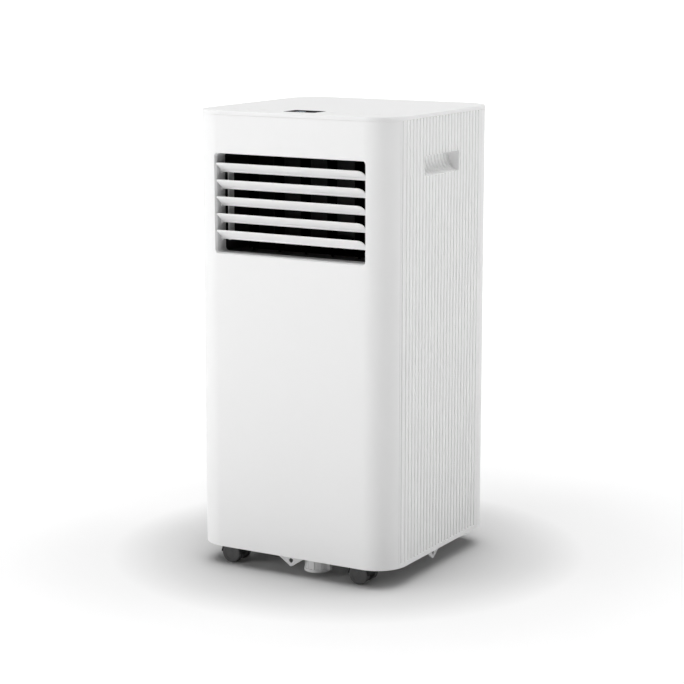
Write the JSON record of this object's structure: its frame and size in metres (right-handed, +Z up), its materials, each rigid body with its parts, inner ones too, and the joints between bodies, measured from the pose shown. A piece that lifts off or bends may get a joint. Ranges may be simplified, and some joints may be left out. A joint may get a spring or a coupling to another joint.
{
  "type": "portable air conditioner",
  "caption": "Free-standing portable air conditioner on swivel casters: box casing with rounded corners, ribbed sides, front outlet with tilting louvres, flat top with keys.",
  "frame": {"origin": "on the floor, under the middle of the bounding box", "axes": "+Z up, -Y towards the front with the louvres, +X to the right seen from the front"},
  "size_m": [0.345, 0.355, 0.703],
  "materials": {
    "white_plastic": "fine moulded satin, white",
    "light_plastic": "moulded, light grey",
    "key_plastic": "moulded satin, white",
    "black_plastic": "moulded, black",
    "wheel_plastic": "moulded nylon, dark grey",
    "black_foam": "moulded polystyrene, black",
    "display": "polished, tinted dark",
    "fins": "thin pressed fins",
    "copper": "drawn copper tube",
    "steel": "zinc plated",
    "enamel": "black enamel",
    "board": "green circuit board"
  },
  "bodies": {
    "casing": {"front_panel": "white_plastic", "right_side_panel": "white_plastic", "left_side_panel": "white_plastic", "rear_panel": "white_plastic", "top_cover": "white_plastic", "display_window": "display", "control_board": "board", "outlet_frame": "light_plastic", "louvre_motor": "black_plastic", "upper_scroll_housing": "black_foam", "upper_fan_motor": "steel", "lower_scroll_housing": "black_foam", "lower_fan_motor": "steel", "exhaust_collar": "light_plastic", "evaporator": "fins", "condenser": "fins", "partition_deck": "black_foam", "compressor": "enamel", "discharge_pipe": "copper", "suction_pipe": "copper", "capillary_pipe": "copper", "splash_motor": "steel", "control_box": "light_plastic", "run_capacitor": "steel", "cable_gland": "black_plastic", "base_tray": "light_plastic"},
    "louvre_1": {"louvre_1": "white_plastic"},
    "louvre_2": {"louvre_2": "white_plastic"},
    "louvre_3": {"louvre_3": "white_plastic"},
    "louvre_4": {"louvre_4": "white_plastic"},
    "louvre_5": {"louvre_5": "white_plastic"},
    "louvre_link": {"louvre_link": "light_plastic"},
    "vane_1": {"vane_1": "black_plastic"},
    "vane_2": {"vane_2": "black_plastic"},
    "vane_3": {"vane_3": "black_plastic"},
    "vane_4": {"vane_4": "black_plastic"},
    "vane_5": {"vane_5": "black_plastic"},
    "vane_link": {"vane_link": "black_plastic"},
    "key_1": {"key_1": "key_plastic"},
    "key_2": {"key_2": "key_plastic"},
    "key_3": {"key_3": "key_plastic"},
    "key_4": {"key_4": "key_plastic"},
    "key_5": {"key_5": "key_plastic"},
    "key_6": {"key_6": "key_plastic"},
    "key_7": {"key_7": "key_plastic"},
    "key_8": {"key_8": "key_plastic"},
    "upper_fan_wheel": {"upper_fan_wheel": "black_plastic"},
    "lower_fan_wheel": {"lower_fan_wheel": "black_plastic"},
    "splash_disc": {"splash_disc": "black_plastic"},
    "upper_filter_grille": {"upper_filter_grille": "white_plastic"},
    "lower_filter_grille": {"lower_filter_grille": "white_plastic"},
    "drain_plug": {"drain_plug": "black_plastic"},
    "caster_front_left": {"caster_housing_front_left": "black_plastic"},
    "wheels_front_left": {"caster_wheels_front_left": "wheel_plastic"},
    "caster_front_right": {"caster_housing_front_right": "black_plastic"},
    "wheels_front_right": {"caster_wheels_front_right": "wheel_plastic"},
    "caster_rear_left": {"caster_housing_rear_left": "black_plastic"},
    "wheels_rear_left": {"caster_wheels_rear_left": "wheel_plastic"},
    "caster_rear_right": {"caster_housing_rear_right": "black_plastic"},
    "wheels_rear_right": {"caster_wheels_rear_right": "wheel_plastic"}
  },
  "joints": [
    {"name": "louvre_1_tilt", "type": "hinge", "parent": "casing", "child": "louvre_1", "pos_m": [0, -0.15973, 0.61216], "axis": [1, 0, 0], "range_deg": [-50, 40]},
    {"name": "louvre_2_tilt", "type": "hinge", "parent": "casing", "child": "louvre_2", "pos_m": [0, -0.15973, 0.58686], "axis": [1, 0, 0], "range_deg": [-50, 40]},
    {"name": "louvre_3_tilt", "type": "hinge", "parent": "casing", "child": "louvre_3", "pos_m": [0, -0.15973, 0.56156], "axis": [1, 0, 0], "range_deg": [-50, 40]},
    {"name": "louvre_4_tilt", "type": "hinge", "parent": "casing", "child": "louvre_4", "pos_m": [0, -0.15973, 0.53626], "axis": [1, 0, 0], "range_deg": [-50, 40]},
    {"name": "louvre_5_tilt", "type": "hinge", "parent": "casing", "child": "louvre_5", "pos_m": [0, -0.15973, 0.51096], "axis": [1, 0, 0], "range_deg": [-50, 40]},
    {"name": "louvre_link_pin", "type": "hinge", "parent": "louvre_1", "child": "louvre_link", "pos_m": [0, -0.14773, 0.61216], "axis": [1, 0, 0], "range_deg": [-40, 50]},
    {"name": "vane_1_swing", "type": "hinge", "parent": "casing", "child": "vane_1", "pos_m": [-0.092, -0.1275, 0.564], "axis": [0, 0, 1], "range_deg": [-35, 35]},
    {"name": "vane_2_swing", "type": "hinge", "parent": "casing", "child": "vane_2", "pos_m": [-0.046, -0.1275, 0.564], "axis": [0, 0, 1], "range_deg": [-35, 35]},
    {"name": "vane_3_swing", "type": "hinge", "parent": "casing", "child": "vane_3", "pos_m": [0, -0.1275, 0.564], "axis": [0, 0, 1], "range_deg": [-35, 35]},
    {"name": "vane_4_swing", "type": "hinge", "parent": "casing", "child": "vane_4", "pos_m": [0.046, -0.1275, 0.564], "axis": [0, 0, 1], "range_deg": [-35, 35]},
    {"name": "vane_5_swing", "type": "hinge", "parent": "casing", "child": "vane_5", "pos_m": [0.092, -0.1275, 0.564], "axis": [0, 0, 1], "range_deg": [-35, 35]},
    {"name": "vane_link_pin", "type": "hinge", "parent": "vane_1", "child": "vane_link", "pos_m": [-0.092, -0.1165, 0.492], "axis": [0, 0, 1], "range_deg": [-35, 35]},
    {"name": "key_1_press", "type": "slide", "parent": "casing", "child": "key_1", "axis": [0, 0, -1], "range_m": [0, 0.0008], "stiffness_N_per_m": 600},
    {"name": "key_2_press", "type": "slide", "parent": "casing", "child": "key_2", "axis": [0, 0, -1], "range_m": [0, 0.0008], "stiffness_N_per_m": 600},
    {"name": "key_3_press", "type": "slide", "parent": "casing", "child": "key_3", "axis": [0, 0, -1], "range_m": [0, 0.0008], "stiffness_N_per_m": 600},
    {"name": "key_4_press", "type": "slide", "parent": "casing", "child": "key_4", "axis": [0, 0, -1], "range_m": [0, 0.0008], "stiffness_N_per_m": 600},
    {"name": "key_5_press", "type": "slide", "parent": "casing", "child": "key_5", "axis": [0, 0, -1], "range_m": [0, 0.0008], "stiffness_N_per_m": 600},
    {"name": "key_6_press", "type": "slide", "parent": "casing", "child": "key_6", "axis": [0, 0, -1], "range_m": [0, 0.0008], "stiffness_N_per_m": 600},
    {"name": "key_7_press", "type": "slide", "parent": "casing", "child": "key_7", "axis": [0, 0, -1], "range_m": [0, 0.0008], "stiffness_N_per_m": 600},
    {"name": "key_8_press", "type": "slide", "parent": "casing", "child": "key_8", "axis": [0, 0, -1], "range_m": [0, 0.0008], "stiffness_N_per_m": 600},
    {"name": "upper_fan_wheel_spin", "type": "hinge", "parent": "casing", "child": "upper_fan_wheel", "pos_m": [0, -0.0525, 0.44], "axis": [0, 1, 0], "continuous": true},
    {"name": "lower_fan_wheel_spin", "type": "hinge", "parent": "casing", "child": "lower_fan_wheel", "pos_m": [0.034, 0.0155, 0.16], "axis": [0, 1, 0], "continuous": true},
    {"name": "splash_disc_spin", "type": "hinge", "parent": "casing", "child": "splash_disc", "pos_m": [0.08, 0.1155, 0.076], "axis": [0, 1, 0], "continuous": true},
    {"name": "upper_filter_grille_pull", "type": "slide", "parent": "casing", "child": "upper_filter_grille", "axis": [0, 1, 0], "range_m": [0, 0.04]},
    {"name": "lower_filter_grille_pull", "type": "slide", "parent": "casing", "child": "lower_filter_grille", "axis": [0, 1, 0], "range_m": [0, 0.04]},
    {"name": "drain_plug_pull", "type": "slide", "parent": "casing", "child": "drain_plug", "axis": [0, 1, 0], "range_m": [0, 0.02]},
    {"name": "caster_front_left_swivel", "type": "hinge", "parent": "casing", "child": "caster_front_left", "pos_m": [-0.1135, -0.1395, 0.045], "axis": [0, 0, 1], "continuous": true},
    {"name": "wheels_front_left_roll", "type": "hinge", "parent": "caster_front_left", "child": "wheels_front_left", "pos_m": [-0.12, -0.1395, 0.0155], "axis": [0, 1, 0], "continuous": true},
    {"name": "caster_front_right_swivel", "type": "hinge", "parent": "casing", "child": "caster_front_right", "pos_m": [0.1135, -0.1395, 0.045], "axis": [0, 0, 1], "continuous": true},
    {"name": "wheels_front_right_roll", "type": "hinge", "parent": "caster_front_right", "child": "wheels_front_right", "pos_m": [0.107, -0.1395, 0.0155], "axis": [0, 1, 0], "continuous": true},
    {"name": "caster_rear_left_swivel", "type": "hinge", "parent": "casing", "child": "caster_rear_left", "pos_m": [-0.1135, 0.1195, 0.045], "axis": [0, 0, 1], "continuous": true},
    {"name": "wheels_rear_left_roll", "type": "hinge", "parent": "caster_rear_left", "child": "wheels_rear_left", "pos_m": [-0.12, 0.1195, 0.0155], "axis": [0, 1, 0], "continuous": true},
    {"name": "caster_rear_right_swivel", "type": "hinge", "parent": "casing", "child": "caster_rear_right", "pos_m": [0.1135, 0.1195, 0.045], "axis": [0, 0, 1], "continuous": true},
    {"name": "wheels_rear_right_roll", "type": "hinge", "parent": "caster_rear_right", "child": "wheels_rear_right", "pos_m": [0.107, 0.1195, 0.0155], "axis": [0, 1, 0], "continuous": true}
  ],
  "couplings": [
    {"joint": "louvre_2_tilt", "follows": "louvre_1_tilt", "ratio": 1},
    {"joint": "louvre_3_tilt", "follows": "louvre_1_tilt", "ratio": 1},
    {"joint": "louvre_4_tilt", "follows": "louvre_1_tilt", "ratio": 1},
    {"joint": "louvre_5_tilt", "follows": "louvre_1_tilt", "ratio": 1},
    {"joint": "louvre_link_pin", "follows": "louvre_1_tilt", "ratio": -1},
    {"joint": "vane_2_swing", "follows": "vane_1_swing", "ratio": 1},
    {"joint": "vane_3_swing", "follows": "vane_1_swing", "ratio": 1},
    {"joint": "vane_4_swing", "follows": "vane_1_swing", "ratio": 1},
    {"joint": "vane_5_swing", "follows": "vane_1_swing", "ratio": 1},
    {"joint": "vane_link_pin", "follows": "vane_1_swing", "ratio": -1}
  ]
}
